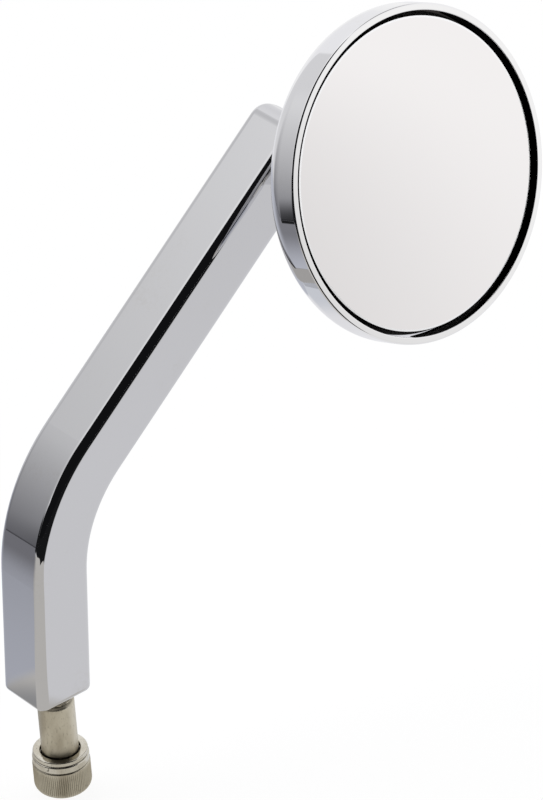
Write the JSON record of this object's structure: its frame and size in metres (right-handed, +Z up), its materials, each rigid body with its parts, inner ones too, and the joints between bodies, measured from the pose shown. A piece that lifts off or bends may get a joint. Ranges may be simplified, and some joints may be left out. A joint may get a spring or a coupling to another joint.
{
  "type": "motorcycle mirror",
  "caption": "Round handlebar mirror in a chromed cup, on a bent square bar with a ball joint behind the head and a socket screw in the foot.",
  "frame": {"origin": "middle of the screw hole on the foot's flat seat face", "axes": "+Z up the screw's axis into the bar, +X the way the bar bends, -Y the way the glass faces"},
  "size_m": [0.1346, 0.0664, 0.1962],
  "materials": {
    "chrome_bar": "polished chrome plate",
    "chrome_cup": "polished chrome plate",
    "nickel_screw": "dull nickel plate, knurled head",
    "nickel_washer": "dull nickel plate",
    "bright_steel": "turned bright steel",
    "black_steel": "black oxide",
    "seat_plastic": "natural bearing plastic",
    "plug_brass": "turned brass",
    "black_pad": "black foam adhesive",
    "silvered_glass": "silvered flat glass with a ground edge"
  },
  "bodies": {
    "stem": {"stem": "chrome_bar", "mount_screw": "nickel_screw", "flat_washer": "nickel_washer", "lock_washer": "nickel_washer", "ball_stud": "bright_steel", "stud_grub_screw": "black_steel"},
    "front_seat": {"ball_seat_front": "seat_plastic"},
    "tilt_cup": {"pressure_cup": "bright_steel"},
    "head": {"mirror_housing": "chrome_cup", "ball_seat_rear": "seat_plastic", "disc_springs": "black_steel", "preload_plug": "plug_brass", "glass_pad": "black_pad", "mirror_glass": "silvered_glass"}
  },
  "joints": [
    {"name": "head_pan", "type": "hinge", "parent": "stem", "child": "front_seat", "pos_m": [0.08219, -0.01694, 0.11921], "axis": [0, 0, 1], "range_deg": [-19.8, 8.2]},
    {"name": "head_tilt", "type": "hinge", "parent": "front_seat", "child": "tilt_cup", "pos_m": [0.08219, -0.01694, 0.11921], "axis": [-0.9949, -0.1011, 0], "range_deg": [-36.7, 3.3]},
    {"name": "head_spin", "type": "hinge", "parent": "tilt_cup", "child": "head", "pos_m": [0.08219, -0.01694, 0.11921], "axis": [0.0968, -0.9529, 0.2874], "continuous": true}
  ]
}
